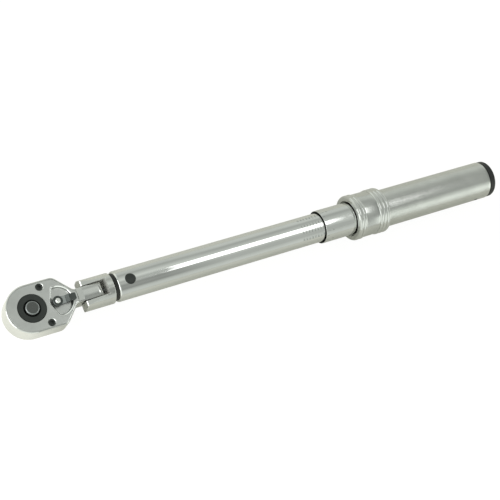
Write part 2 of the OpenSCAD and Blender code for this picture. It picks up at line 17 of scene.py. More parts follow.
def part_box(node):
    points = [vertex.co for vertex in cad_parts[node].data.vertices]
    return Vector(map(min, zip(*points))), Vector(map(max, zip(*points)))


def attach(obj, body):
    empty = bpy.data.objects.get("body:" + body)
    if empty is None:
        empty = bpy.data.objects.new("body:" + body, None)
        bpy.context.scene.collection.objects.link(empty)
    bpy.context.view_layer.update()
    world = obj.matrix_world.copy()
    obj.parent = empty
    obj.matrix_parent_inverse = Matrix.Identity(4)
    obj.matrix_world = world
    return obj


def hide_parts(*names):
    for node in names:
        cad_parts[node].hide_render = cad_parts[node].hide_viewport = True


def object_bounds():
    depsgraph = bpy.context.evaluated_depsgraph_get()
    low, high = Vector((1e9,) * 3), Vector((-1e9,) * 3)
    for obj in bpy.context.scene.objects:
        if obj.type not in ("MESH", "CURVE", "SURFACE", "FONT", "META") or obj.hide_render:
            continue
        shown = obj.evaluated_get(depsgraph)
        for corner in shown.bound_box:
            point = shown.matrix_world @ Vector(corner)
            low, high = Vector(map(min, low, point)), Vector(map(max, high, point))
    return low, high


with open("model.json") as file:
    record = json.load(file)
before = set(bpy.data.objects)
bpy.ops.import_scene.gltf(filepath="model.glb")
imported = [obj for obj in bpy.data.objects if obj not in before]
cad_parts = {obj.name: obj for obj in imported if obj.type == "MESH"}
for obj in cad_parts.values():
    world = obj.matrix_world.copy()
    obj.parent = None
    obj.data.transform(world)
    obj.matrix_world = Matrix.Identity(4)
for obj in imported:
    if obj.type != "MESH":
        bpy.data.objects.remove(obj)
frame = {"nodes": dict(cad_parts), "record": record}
cad_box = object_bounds()

MM = 0.001
X, Y, Z = 0, 1, 2
RECORD = frame["record"]
BODY_OF = {node: body for body, nodes in RECORD["behaviour"]["bodies"].items() for node in nodes}
SLOT_OF = {part["node"]: part["material_slot"] for part in RECORD["subparts"]}


# ---- Sizes and places, read from the CAD boxes ----

def low(node, axis):
    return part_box(node)[0][axis]


def high(node, axis):
    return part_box(node)[1][axis]


def middle(node, axis):
    return (low(node, axis) + high(node, axis)) / 2


def half_width(node):
    return (high(node, Y) - low(node, Y)) / 2


AXIS_Z = middle("main_tube", Z)
FACE_Z = high("cover_plate", Z)
PLATE_Z = low("cover_plate", Z)
BASE_Z = low("ratchet_body", Z)
LEVER_X = middle("lever_rivet", X)
FLEX_X = middle("flex_pin", X)
PIVOT_X = middle("pivot_pin", X)
TUBE_R = half_width("main_tube")
TUBE_X = low("main_tube", X)
TUBE_BORE = 9.3 * MM
THIMBLE_X = low("thimble_sleeve", X)
THIMBLE_R = half_width("thimble_sleeve")
BALL_X = middle("lock_ball_1", X)
SCREW_R = 2.5 * MM
SCREW_X = middle("cover_screws", X)
SCREW_Y = high("cover_screws", Y) - SCREW_R

# Head outline: arcs joined by tangents, as in the CAD part
NOSE_R = 17.4 * MM
NOSE_C = Vector((low("ratchet_body", X) + NOSE_R, 0))
CORNER_R = 6.2 * MM
CORNER_C = Vector((17.6 * MM, high("ratchet_body", Y) - CORNER_R))
NECK_R = 4 * MM
TANG_HALF = 4.9 * MM
TANG_CUTS = (37.3 * MM, 48 * MM)
NECK_C = Vector((33.5 * MM, TANG_HALF + NECK_R))
HEAD_EDGE = 1.2 * MM
PLATE_GAP = 0.03 * MM
PLATE_END_R = high("cover_plate", X) - LEVER_X
POCKET_FLOOR_Z = FACE_Z - 2.4 * MM
POCKET_HUB_R = 5.5 * MM
POCKET_FAN_C = Vector((LEVER_X + 0.7 * MM, 0))
POCKET_FAN_R = 10.8 * MM
POCKET_CORNER_R = 2.1 * MM
POCKET_CORNER_ANGLE = 97
JOURNAL_R = 9.75 * MM
SHAFT_R = 2.45 * MM


# ---- Mesh helpers ----

SEGMENTS = 192
ROD_SEGMENTS = 96


def piece_from_mesh(name, mesh):
    piece = bpy.data.objects.new(name, mesh)
    bpy.context.scene.collection.objects.link(piece)
    return piece


def solid(name, verts, faces):
    """A closed mesh with its normals outward."""
    mesh = bpy.data.meshes.new(name)
    mesh.from_pydata(verts, [], faces)
    work = bmesh.new()
    work.from_mesh(mesh)
    bmesh.ops.remove_doubles(work, verts=work.verts, dist=1e-7)
    bmesh.ops.recalc_face_normals(work, faces=work.faces)
    work.to_mesh(mesh)
    work.free()
    return piece_from_mesh(name, mesh)


def apply_modifiers(piece):
    depsgraph = bpy.context.evaluated_depsgraph_get()
    mesh = bpy.data.meshes.new_from_object(piece.evaluated_get(depsgraph))
    piece.modifiers.clear()
    old = piece.data
    piece.data = mesh
    bpy.data.meshes.remove(old)
    mesh.name = piece.name


def combine(piece, other, operation):
    """Boolean of two closed pieces; the second one is used up."""
    modifier = piece.modifiers.new("combine", "BOOLEAN")
    modifier.object = other
    modifier.operation = operation
    modifier.solver = "EXACT"
    apply_modifiers(piece)
    bpy.data.objects.remove(other)


def cut(piece, *cutters):
    """Takes closed pieces away from a piece; they are used up."""
    for cutter in cutters:
        combine(piece, cutter, "DIFFERENCE")


def round_edges(piece, width, segments=3, angle=35):
    modifier = piece.modifiers.new("round", "BEVEL")
    modifier.width = width
    modifier.segments = segments
    modifier.limit_method = "ANGLE"
    modifier.angle_limit = math.radians(angle)
    modifier.use_clamp_overlap = True
    apply_modifiers(piece)


def even_normals(piece, sharp_angle):
    """Smooth shading in which large flat faces stay flat beside their rounded edges."""
    piece.data.shade_smooth()
    piece.data.set_sharp_from_angle(angle=math.radians(sharp_angle))
    modifier = piece.modifiers.new("normals", "WEIGHTED_NORMAL")
    modifier.keep_sharp = True
    apply_modifiers(piece)


def cross_cuts(piece, stations):
    """Edges across the long faces, so that the shading of one end doesn't spread along them."""
    work = bmesh.new()
    work.from_mesh(piece.data)
    for x in stations:
        everything = work.verts[:] + work.edges[:] + work.faces[:]
        bmesh.ops.bisect_plane(work, geom=everything, plane_co=(x, 0, 0), plane_no=(1, 0, 0))
    work.to_mesh(piece.data)
    work.free()


def filleted(points, closed):
    """Corners with a third number get that fillet radius."""
    steps = 5
    out = []
    count = len(points)
    for i, point in enumerate(points):
        radius = point[2] if len(point) > 2 else 0
        ends = not closed and i in (0, count - 1)
        if radius == 0 or ends:
            out.append(Vector(point[:2]))
            continue
        corner = Vector(point[:2])
        back = (Vector(points[i - 1][:2]) - corner).normalized()
        ahead = (Vector(points[(i + 1) % count][:2]) - corner).normalized()
        half = back.angle(ahead) / 2
        centre = corner + (back + ahead).normalized() * (radius / math.sin(half))
        start = corner + back * (radius / math.tan(half)) - centre
        end = corner + ahead * (radius / math.tan(half)) - centre
        sweep = start.angle_signed(end)
        out += [centre + Matrix.Rotation(-sweep * k / steps, 2) @ start for k in range(steps + 1)]
    return out


def lathe(name, profile, closed=True, centre=None, segments=SEGMENTS):
    """Turns (station, radius) points about the tube's axis, or about an upright axis at centre."""
    points = filleted(profile, closed)
    verts = []
    rings = []
    for station, radius in points:
        turns = 1 if radius < 1e-9 else segments
        rings.append((len(verts), turns))
        for k in range(turns):
            angle = 2 * math.pi * k / segments
            across, up = radius * math.cos(angle), radius * math.sin(angle)
            if centre is None:
                verts.append((station, across, AXIS_Z + up))
            else:
                verts.append((centre[0] + across, centre[1] + up, station))
    faces = []
    pairs = list(zip(rings, rings[1:] + rings[:1])) if closed else list(zip(rings, rings[1:]))
    for (first, n1), (second, n2) in pairs:
        for k in range(segments):
            corners = [first + k % n1, first + (k + 1) % n1, second + (k + 1) % n2, second + k % n2]
            faces.append(list(dict.fromkeys(corners)))
    return solid(name, verts, [f for f in faces if len(f) > 2])


def arc(centre, radius, start, end, steps):
    """Points of an arc, angles in degrees."""
    turn = (end - start) / steps
    return [Vector(centre) + radius * Vector((math.cos(math.radians(start + turn * k)),
                                              math.sin(math.radians(start + turn * k))))
            for k in range(steps + 1)]


def tangent_angle(c1, r1, c2, r2, side=1):
    """Direction in degrees of the outward normal that two circles' common tangent shares."""
    across = c2 - c1
    return math.degrees(math.atan2(across.y, across.x)
                        + side * math.acos((r1 - r2) / across.length))


def mirrored(points):
    """The other half of an outline; halves stop short of the centre line, so no point comes twice."""
    return [Vector((p.x, -p.y)) for p in reversed(points)]


def circle(centre, radius):
    steps = ROD_SEGMENTS
    return arc(centre, radius, 0, 360 - 360 / steps, steps - 1)


class Shell:
    """Collects rings, walls between rings, and flat caps with holes."""

    def __init__(self):
        self.verts = []
        self.faces = []

    def ring(self, points, z):
        start = len(self.verts)
        self.verts += [(p.x, p.y, z) for p in points]
        return list(range(start, len(self.verts)))

    def wall(self, lower, upper):
        count = len(lower)
        for k in range(count):
            after = (k + 1) % count
            self.faces.append([lower[k], lower[after], upper[after], upper[k]])

    def stack(self, rings):
        for lower, upper in zip(rings, rings[1:]):
            self.wall(lower, upper)

    def cap(self, *loops):
        flat = [[Vector(self.verts[i]) for i in loop] for loop in loops]
        index = [i for loop in loops for i in loop]
        self.faces += [[index[a], index[b], index[c]] for a, b, c in tessellate_polygon(flat)]

    def finish(self, name):
        return solid(name, self.verts, self.faces)


def rounded_levels(z0, z1, edge_low, edge_high):
    """(inset, height) pairs up a wall whose two edges are rounded."""
    steps = 6
    quarter = [math.radians(90 * k / steps) for k in range(steps + 1)]
    lower = [(edge_low * (1 - math.sin(a)), z0 + edge_low * (1 - math.cos(a))) for a in quarter]
    upper = [(edge_high * (1 - math.cos(a)), z1 - edge_high * (1 - math.sin(a))) for a in quarter]
    return lower + upper


def slab(name, outline, z0, z1, edge_low=0.0, edge_high=0.0):
    """A plate whose outline is a function of the inset."""
    shell = Shell()
    levels = [(0, z0), (0, z1)]
    if edge_low + edge_high > 0:
        levels = rounded_levels(z0, z1, edge_low, edge_high)
    rings = [shell.ring(outline(inset), z) for inset, z in levels]
    shell.stack(rings)
    shell.cap(rings[0])
    shell.cap(rings[-1])
    return shell.finish(name)


def repeated_round(piece, count):
    """Copies a piece to evenly spaced places round the tube's axis."""
    work = bmesh.new()
    onto_axis, back = Matrix.Translation((0, 0, -AXIS_Z)), Matrix.Translation((0, 0, AXIS_Z))
    for k in range(count):
        turn = Matrix.Rotation(2 * math.pi * k / count, 4, "X")
        mesh = piece.data.copy()
        mesh.transform(back @ turn @ onto_axis)
        work.from_mesh(mesh)
        bpy.data.meshes.remove(mesh)
    work.to_mesh(piece.data)
    work.free()
    return piece


def block(name, corner, size):
    x0, y0, z0 = corner
    x1, y1, z1 = (start + extent for start, extent in zip(corner, size))
    square = [Vector((x0, y0)), Vector((x1, y0)), Vector((x1, y1)), Vector((x0, y1))]
    return slab(name, lambda inset: square, z0, z1)


def underside(points):
    """Side-view points mirrored below the tube's axis, in reverse order."""
    return [(x, 2 * AXIS_Z - z) for x, z in reversed(points)]


def side_slab(name, points, half):
    """A closed (x, z) outline extruded across the wrench."""
    count = len(points)
    verts = [(p[0], -half, p[1]) for p in points] + [(p[0], half, p[1]) for p in points]
    faces = [[k, (k + 1) % count, count + (k + 1) % count, count + k] for k in range(count)]
    ends = [list(range(count)), list(range(count, 2 * count))]
    return solid(name, verts, faces + ends)


def axial_rod(name, x0, x1, radius, segments=SEGMENTS):
    return lathe(name, [(x0, 0), (x0, radius), (x1, radius), (x1, 0)], closed=False, segments=segments)


def upright_rod(name, x, y, radius, z0, z1):
    return lathe(name, [(z0, 0), (z0, radius), (z1, radius), (z1, 0)], closed=False,
                 centre=(x, y), segments=ROD_SEGMENTS)


def cross_rod(name, x, z, radius, y0, y1):
    piece = upright_rod(name, 0, 0, radius, y0, y1)
    piece.data.transform(Matrix.Translation((x, 0, z)) @ Matrix.Rotation(-math.pi / 2, 4, "X"))
    return piece


# ---- Materials ----

def add_node(tree, kind, settings=None, **inputs):
    new = tree.nodes.new(kind)
    for key, value in (settings or {}).items():
        setattr(new, key, value)
    for key, value in inputs.items():
        new.inputs[key.replace("_", " ")].default_value = value
    return new


def place_coordinates(tree, scale):
    """The piece's own coordinates, stretched so that grain runs across the larger scales."""
    where = add_node(tree, "ShaderNodeTexCoord")
    stretch = add_node(tree, "ShaderNodeMapping", Scale=scale)
    tree.links.new(where.outputs["Object"], stretch.inputs["Vector"])
    return stretch.outputs["Vector"]


def noise(tree, scale, detail, roughness=0.55):
    new = add_node(tree, "ShaderNodeTexNoise", Scale=1.0, Detail=detail, Roughness=roughness)
    tree.links.new(place_coordinates(tree, scale), new.inputs["Vector"])
    return new.outputs["Fac"]


def spread(tree, value, low_value, high_value, start=0.3, end=0.7):
    """Maps start to end, by default the usual range of noise, onto low_value to high_value."""
    new = add_node(tree, "ShaderNodeMapRange", From_Min=start, From_Max=end, To_Min=low_value,
                   To_Max=high_value)
    tree.links.new(value, new.inputs["Value"])
    return new.outputs["Result"]


def bumps(tree, layers):
    """Bump nodes in a chain: each layer is a height and its depth in metres."""
    normal = None
    for height, depth in layers:
        new = add_node(tree, "ShaderNodeBump", Strength=1.0, Distance=depth)
        tree.links.new(height, new.inputs["Height"])
        if normal:
            tree.links.new(normal, new.inputs["Normal"])
        normal = new.outputs["Normal"]
    return normal


def axes(tree, coordinates):
    """The X, Y and Z sockets of one kind of texture coordinates."""
    where = add_node(tree, "ShaderNodeTexCoord")
    parts = add_node(tree, "ShaderNodeSeparateXYZ")
    tree.links.new(where.outputs[coordinates], parts.inputs["Vector"])
    return parts.outputs


def maths(tree, operation, *terms):
    """A math node whose terms are sockets or numbers."""
    new = add_node(tree, "ShaderNodeMath", {"operation": operation})
    for socket, term in zip(new.inputs, terms):
        if isinstance(term, float):
            socket.default_value = term
        else:
            tree.links.new(term, socket)
    return new.outputs["Value"]


def tint(tree, value, dark, light):
    """A colour between dark and light, by the value of a noise."""
    ramp = add_node(tree, "ShaderNodeValToRGB")
    ramp.color_ramp.elements[0].position = 0.3
    ramp.color_ramp.elements[0].color = (*dark, 1)
    ramp.color_ramp.elements[1].position = 0.7
    ramp.color_ramp.elements[1].color = (*light, 1)
    tree.links.new(value, ramp.inputs["Fac"])
    return ramp.outputs["Color"]


def metal(name, dark, light, roughness, grain, grain_depth, waves=None, metallic=1.0, smudge=70):
    """A metal with wear: mottled colour, roughness that varies with smudges, grain and soft waves."""
    material = bpy.data.materials.new(name)
    material.use_nodes = True
    tree = material.node_tree
    shader = tree.nodes["Principled BSDF"]
    shader.inputs["Metallic"].default_value = metallic
    marks = noise(tree, (smudge, smudge, smudge), detail=4.0)
    tree.links.new(tint(tree, marks, dark, light), shader.inputs["Base Color"])
    wear = noise(tree, (smudge * 3, smudge * 2, smudge * 3), detail=6.0, roughness=0.7)
    tree.links.new(spread(tree, wear, *roughness), shader.inputs["Roughness"])
    layers = [(noise(tree, grain, detail=2.0), grain_depth)]
    if waves:
        layers.insert(0, (noise(tree, (waves[0],) * 3, detail=1.0), waves[1]))
    tree.links.new(bumps(tree, layers), shader.inputs["Normal"])
    return material


def moulded(name, colour, roughness, pitting):
    """A plastic or rubber with a slightly pitted skin."""
    material = metal(name, colour, [c * 1.25 for c in colour], roughness, (2600, 2600, 2600), pitting,
                     metallic=0.0, smudge=160)
    material.node_tree.nodes["Principled BSDF"].inputs["Specular IOR Level"].default_value = 0.35
    return material


# Grain: rings left by a lathe, or the same in every direction
RINGS = (9000, 60, 60)
FINE = (4200, 4200, 4200)
MATERIALS = {
    "head_chrome": metal("forged_chrome", (0.62, 0.63, 0.62), (0.67, 0.68, 0.66), (0.08, 0.16),
                         FINE, 0.8e-6, waves=(160, 12e-6)),
    "face_chrome": metal("satin_face", (0.50, 0.51, 0.50), (0.56, 0.57, 0.56), (0.30, 0.40),
                         FINE, 4e-6),
    "fork_chrome": metal("fork_chrome", (0.62, 0.63, 0.62), (0.67, 0.68, 0.66), (0.07, 0.14),
                         FINE, 0.6e-6, waves=(120, 10e-6)),
    "tube_chrome": metal("tube_chrome", (0.65, 0.66, 0.65), (0.68, 0.69, 0.68), (0.03, 0.08),
                         RINGS, 0.25e-6, waves=(25, 4e-6), smudge=40),
    "thimble_chrome": metal("thimble_chrome", (0.62, 0.63, 0.62), (0.66, 0.67, 0.66), (0.05, 0.10),
                            RINGS, 0.5e-6, smudge=60),
    "collar_chrome": metal("satin_collar", (0.52, 0.53, 0.52), (0.57, 0.58, 0.56), (0.12, 0.19),
                           RINGS, 1.5e-6, waves=(140, 8e-6)),
    "grip_chrome": metal("knurl_chrome", (0.54, 0.55, 0.53), (0.60, 0.61, 0.59), (0.14, 0.20),
                         FINE, 2e-6),
    "black_oxide": metal("black_oxide", (0.030, 0.034, 0.032), (0.045, 0.050, 0.047), (0.30, 0.45),
                         FINE, 3e-6, metallic=0.6),
    "button_steel": metal("button_steel", (0.085, 0.090, 0.087), (0.115, 0.121, 0.117), (0.18, 0.30),
                          FINE, 3e-6, metallic=0.7),
    "lever_steel": metal("lever_steel", (0.055, 0.062, 0.060), (0.085, 0.095, 0.092), (0.30, 0.45),
                         FINE, 3e-6, metallic=0.7),
    "bright_steel": metal("bright_steel", (0.74, 0.75, 0.74), (0.80, 0.80, 0.79), (0.08, 0.14),
                          FINE, 0.5e-6),
    "tool_steel": metal("tool_steel", (0.34, 0.35, 0.36), (0.44, 0.45, 0.46), (0.25, 0.40),
                        RINGS, 2e-6),
    "spring_steel": metal("spring_steel", (0.22, 0.23, 0.25), (0.32, 0.32, 0.33), (0.30, 0.45),
                          FINE, 2e-6),
    "seal_rubber": moulded("seal_rubber", (0.016, 0.017, 0.016), (0.45, 0.60), 6e-6),
    "cap_plastic": moulded("cap_plastic", (0.015, 0.016, 0.016), (0.38, 0.50), 5e-6),
}
# Second finishes, painted on some faces of a piece; the bright rim and the light steel among them also
# carry painted highlights
BEAD_CHROME = metal("bead_chrome", (0.57, 0.58, 0.57), (0.62, 0.63, 0.61), (0.06, 0.12), RINGS, 0.5e-6)
SLOT_FINISH = metal("machined_slot", (0.46, 0.46, 0.44), (0.60, 0.60, 0.57), (0.38, 0.50), FINE, 4e-6,
                    metallic=0.4)
# Polished chrome, made lighter than the other chrome: a painted highlight along the pocket's edge
POLISHED_RIM_WITH_PAINTED_HIGHLIGHT = metal("polished_rim_painted_highlight", (0.84, 0.85, 0.84), (0.90, 0.91, 0.90), (0.10, 0.18), FINE, 1e-6)
# Lighter steel as painted light: a painted sheen on the lever neck's sloping facets and a painted
# highlight on the button's chamfer
PAINTED_SHEEN_STEEL = metal("painted_sheen_steel", (0.26, 0.28, 0.28), (0.40, 0.42, 0.42), (0.22, 0.32), FINE, 3e-6,
                   metallic=0.9)
ENGRAVING = metal("engraving", (0.16, 0.17, 0.16), (0.24, 0.25, 0.24), (0.40, 0.55), FINE, 2e-6,
                  metallic=0.6)

for node_name, cad_object in frame["nodes"].items():
    for material_slot in cad_object.material_slots:
        material_slot.material = MATERIALS[SLOT_OF[node_name]]


def settle(piece, node, *, hides=True, material=None, sharp_angle=40):
    """The piece takes a CAD node's body, slot and material, and usually its place in view."""
    even_normals(piece, sharp_angle)
    if not piece.data.materials:
        piece.data.materials.append(material or MATERIALS[SLOT_OF[node]])
    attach(piece, BODY_OF[node])
    if hides:
        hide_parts(node)


def paint(piece, base, other, chosen):
    """Gives the chosen faces the other material."""
    piece.data.materials.append(base)
    piece.data.materials.append(other)
    for face in piece.data.polygons:
        face.material_index = 1 if chosen(face) else 0


def refined(node, name, width, segments=3, painted_sheen=None):
    """A copy of a CAD node with its flat faces joined up and its edges rounded.

    The faces chosen by the last argument get a lighter steel as a painted sheen.
    """
    mesh = frame["nodes"][node].data.copy()
    mesh.materials.clear()
    work = bmesh.new()
    work.from_mesh(mesh)
    bmesh.ops.remove_doubles(work, verts=work.verts, dist=1e-6)
    bmesh.ops.dissolve_limit(work, angle_limit=math.radians(0.6), verts=work.verts, edges=work.edges)
    work.to_mesh(mesh)
    work.free()
    piece = piece_from_mesh(name, mesh)
    round_edges(piece, width, segments)
    if painted_sheen:
        paint(piece, MATERIALS[SLOT_OF[node]], PAINTED_SHEEN_STEEL, painted_sheen)
    settle(piece, node)


# ---- Head ----

SIDE_ANGLE = tangent_angle(NOSE_C, NOSE_R, CORNER_C, CORNER_R)
SLOPE_ANGLE = tangent_angle(CORNER_C, CORNER_R, NECK_C, -NECK_R)


def head_half(inset, neck_start=270.0):
    """The head's outline on the +Y side, from the neck round to the nose."""
    return (arc(NECK_C, NECK_R + inset, neck_start, 180 + SLOPE_ANGLE, 16)
            + arc(CORNER_C, CORNER_R - inset, SLOPE_ANGLE, SIDE_ANGLE, 20)
            + arc(NOSE_C, NOSE_R - inset, SIDE_ANGLE, 179.2, 72))


def head_outline(inset):
    """The whole head seen from above, round to where the tang leaves it."""
    return head_half(inset) + mirrored(head_half(inset))


def meeting_angles(c1, r1, c2, r2):
    """Where circle 1 meets circle 2 on the side toward the wrench's centre line, as two angles."""
    across = c2 - c1
    turn = math.acos((r1 ** 2 + across.length_squared - r2 ** 2) / (2 * r1 * across.length))
    on_first = math.atan2(across.y, across.x) - turn
    point = c1 + r1 * Vector((math.cos(on_first), math.sin(on_first)))
    return math.degrees(on_first), math.degrees(math.atan2(point.y - c2.y, point.x - c2.x)) % 360


def plate_outline(inset):
    """The head's flat face, ended by an arc about the lever."""
    edge = HEAD_EDGE + inset
    end_c = Vector((LEVER_X, 0))
    end_angle, neck_angle = meeting_angles(end_c, PLATE_END_R - inset, NECK_C, NECK_R + edge)
    half = arc(end_c, PLATE_END_R - inset, 0.3, end_angle, 12)[:-1] + head_half(edge, neck_angle)
    return half + mirrored(half)


def pocket_outline(growth):
    """The lever pocket: a hub and a fan with small corners, grown evenly on all sides."""
    start = math.radians(POCKET_CORNER_ANGLE)
    corner = POCKET_FAN_C + (POCKET_FAN_R - POCKET_CORNER_R) * Vector((math.cos(start), math.sin(start)))
    hub = Vector((LEVER_X, 0))
    side = 360 + tangent_angle(corner, POCKET_CORNER_R, hub, POCKET_HUB_R, -1)
    half = (arc(POCKET_FAN_C, POCKET_FAN_R + growth, 0.5, POCKET_CORNER_ANGLE, 60)[:-1]
            + arc(corner, POCKET_CORNER_R + growth, POCKET_CORNER_ANGLE, side, 16)
            + arc(hub, POCKET_HUB_R + growth, side, 179.2, 24))
    return half + mirrored(half)


def tang_end(knuckle):
    """The tang's end seen from the side, from its lower corner round to its upper one."""
    centre = Vector((FLEX_X, AXIS_Z))
    across = Vector((4, 4.75)) * MM
    radius = knuckle - across.y
    meeting = tangent_angle(centre, knuckle, centre + across, radius, -1)
    upper = arc(centre, knuckle, 0, meeting, 6) + arc(centre + across, radius, meeting, 90, 16)
    return underside(upper[1:]) + upper


def tang(name):
    """The flat-sided tongue of the head, crowned on top and round at its end."""
    knuckle = high("ratchet_body", X) - FLEX_X
    root_x = NECK_C.x - 0.2 * MM
    slope_end = root_x + 3 * MM
    outline = [(root_x, BASE_Z), (slope_end, AXIS_Z - knuckle)] + tang_end(knuckle)
    outline += [(slope_end, AXIS_Z + knuckle), (root_x, FACE_Z)]
    piece = side_slab(name, outline, TANG_HALF)
    crown = axial_rod("crown", root_x - MM, FLEX_X + 10 * MM, knuckle + 0.1 * MM)
    combine(piece, crown, "INTERSECT")
    return piece


def neck_step_outline():
    """The neck beyond the plate's end arc, where the forging lies lower than the face."""
    reach = 60
    end = arc((LEVER_X, 0), PLATE_END_R - PLATE_GAP, reach, -reach, 24)
    far = NECK_C.x + 6 * MM
    return end + [Vector((far, end[-1].y)), Vector((far, end[0].y))]


def make_head():
    """The ratchet head's forging: rounded outside, hollow for the gear and the pawl, with its tang."""
    floor_z = BASE_Z + 2.1 * MM
    bore_r, cavity_r, pin_r = 9.0 * MM, 11.7 * MM, 2.55 * MM
    pawl_reach, pawl_half = 17 * MM, 10.2 * MM
    body = slab("head_forging", head_outline, BASE_Z, FACE_Z, HEAD_EDGE, HEAD_EDGE)
    cut(body,
        slab("plate_pocket", lambda inset: plate_outline(-PLATE_GAP), PLATE_Z, FACE_Z + MM),
        slab("neck_step", lambda inset: neck_step_outline(), FACE_Z - MM, FACE_Z + MM))
    tongue = tang("tang")
    round_edges(tongue, 0.3 * MM)
    combine(body, tongue, "UNION")
    cut(body,
        upright_rod("lower_bore", 0, 0, bore_r, BASE_Z - MM, floor_z + MM),
        upright_rod("gear_cavity", 0, 0, cavity_r, floor_z, PLATE_Z + MM),
        block("pawl_cavity", (0, -pawl_half, floor_z),
              (pawl_reach, 2 * pawl_half, PLATE_Z - floor_z + MM)),
        cross_rod("pin_hole", FLEX_X, AXIS_Z, pin_r, -8 * MM, 8 * MM))
    cross_cuts(body, TANG_CUTS)
    settle(body, "ratchet_body")


def through_hole(shell, centre, radius):
    """The wall of a hole with a chamfered top; gives its lowest and highest rings."""
    chamfer = 0.4 * MM
    narrow = list(reversed(circle(centre, radius)))
    wide = list(reversed(circle(centre, radius + chamfer)))
    rings = [shell.ring(narrow, PLATE_Z), shell.ring(narrow, FACE_Z - chamfer), shell.ring(wide, FACE_Z)]
    shell.stack(rings)
    return rings[0], rings[-1]


def pocket_levels():
    """(growth, height) pairs up the lever pocket's wall, from its rounded foot to its rounded lip."""
    foot, lip, reach = 0.5 * MM, 1.9 * MM, 0.6 * MM
    wall = reach - lip
    quarter = [math.radians(15 * k) for k in range(7)]
    lower = [(wall + foot * (math.sin(a) - 1), POCKET_FLOOR_Z + foot * (1 - math.cos(a)))
             for a in quarter]
    upper = [(wall + lip * (1 - math.cos(a)), FACE_Z - lip * (1 - math.sin(a))) for a in quarter[1:]]
    return lower + upper


def on_pocket_wall(face):
    """Whether a face of the plate is on the sloping wall of the lever's pocket."""
    x, y, z = face.center
    near_pocket = POCKET_FAN_C.x - 8 * MM < x < LEVER_X + POCKET_FAN_R + 2 * MM
    inside = near_pocket and abs(y) < POCKET_FAN_R + MM and POCKET_FLOOR_Z < z < FACE_Z
    return inside and abs(face.normal.z) < 0.97


def on_button_chamfer(face):
    return 0.2 < face.normal.z < 0.99 and face.center.z > FACE_Z + 0.7 * MM


def on_lever_neck(face):
    return 2.9 * MM < face.center.x - LEVER_X < 6.0 * MM and face.normal.z > 0.1


def make_cover_plate():
    """The flat face, with chamfered holes for the drive and the screws and a pocket for the lever."""
    shell = Shell()
    seam = 0.3 * MM
    outer = [shell.ring(plate_outline(inset), z)
             for inset, z in rounded_levels(PLATE_Z, FACE_Z, 0, seam)]
    shell.stack(outer)
    holes = [through_hole(shell, (0, 0), JOURNAL_R)]
    holes += [through_hole(shell, (SCREW_X, side * SCREW_Y), SCREW_R) for side in (-1, 1)]
    walls = [shell.ring(list(reversed(pocket_outline(growth))), z) for growth, z in pocket_levels()]
    shell.stack(walls)
    shaft = list(reversed(circle((LEVER_X, 0), SHAFT_R)))
    shaft_rings = [shell.ring(shaft, PLATE_Z), shell.ring(shaft, POCKET_FLOOR_Z)]
    shell.stack(shaft_rings)
    shell.cap(walls[0], shaft_rings[1])
    shell.cap(outer[-1], walls[-1], *[top for bottom, top in holes])
    shell.cap(outer[0], shaft_rings[0], *[bottom for bottom, top in holes])
    plate = shell.finish("face_plate")
    # The pocket's sloping wall is polished, and its light colour is a painted highlight
    paint(plate, MATERIALS["face_chrome"], POLISHED_RIM_WITH_PAINTED_HIGHLIGHT, on_pocket_wall)
    settle(plate, "cover_plate")


make_head()
make_cover_plate()
refined("cover_screws", "lobed_screws", 0.15 * MM, segments=2)
refined("drive_anvil", "drive_gear_and_square", 0.2 * MM, segments=2)
# The button's chamfer gets a painted highlight and the lever's neck a painted sheen
refined("release_button", "release_push_button", 0.12 * MM, segments=2, painted_sheen=on_button_chamfer)
refined("reversing_lever", "reversing_thumb_lever", 0.3 * MM, painted_sheen=on_lever_neck)


# ---- Fork ----

def arm_profile(tip_x, slot_end):
    """The fork from the side: arms that rise from their rounded tips toward the full round root."""
    corner = 2.5 * MM
    tip_rise, root_rise, full_rise = 7.0 * MM, 9.9 * MM, TUBE_R + MM
    far = PIVOT_X + 20 * MM
    nose = [tuple(p) for p in arc((tip_x + corner, AXIS_Z + tip_rise - corner), corner, 180, 90, 12)]
    above = [(slot_end, AXIS_Z + root_rise), (slot_end, AXIS_Z + full_rise), (far, AXIS_Z + full_rise)]
    return underside(nose) + nose + above + underside(above)


def make_fork():
    """The click lever: its fork before the tube, and its neck, boss and tail inside the tube."""
    tip_x, tail_x = low("yoke_lever", X), high("yoke_lever", X)
    slot_end, slot_half = 54.6 * MM, 5.6 * MM
    root_end, neck_r = 59.3 * MM, 8.4 * MM
    boss_start, boss_end, boss_r = PIVOT_X - 7.5 * MM, PIVOT_X + 7.5 * MM, 8.9 * MM
    tail_start, tail_half, tail_rise = PIVOT_X + 7 * MM, 5 * MM, 6 * MM
    arm_cuts = (tip_x + 3 * MM, 50 * MM, 56 * MM)
    piece = lathe("fork_lever", [(tip_x, 0), (tip_x, TUBE_R), (root_end, TUBE_R, 0.6 * MM),
                                 (root_end, neck_r), (boss_start, neck_r), (boss_start, boss_r),
                                 (boss_end, boss_r), (boss_end, 0)], closed=False)
    combine(piece, side_slab("arm_profile", arm_profile(tip_x, slot_end), TUBE_R + MM), "INTERSECT")
    cut(piece,
        block("slot", (tip_x - MM, -slot_half, AXIS_Z - 20 * MM),
              (slot_end - tip_x + MM, 2 * slot_half, 40 * MM)),
        cross_rod("pin_hole", FLEX_X, AXIS_Z, 2.5 * MM, -15 * MM, 15 * MM))
    round_edges(piece, 0.45 * MM, 4, angle=45)
    combine(piece, block("tail", (tail_start, -tail_half, AXIS_Z - tail_rise),
                         (tail_x - tail_start, 2 * tail_half, 2 * tail_rise)), "UNION")
    cross_cuts(piece, arm_cuts)
    near = 0.1 * MM
    paint(piece, MATERIALS["fork_chrome"], SLOT_FINISH,
          lambda face: abs(face.center.y) < slot_half + near and face.center.x < slot_end + near)
    settle(piece, "yoke_lever")


make_fork()
refined("flex_pin", "flex_joint_pin", 0.2 * MM, segments=2)


# ---- Tube ----

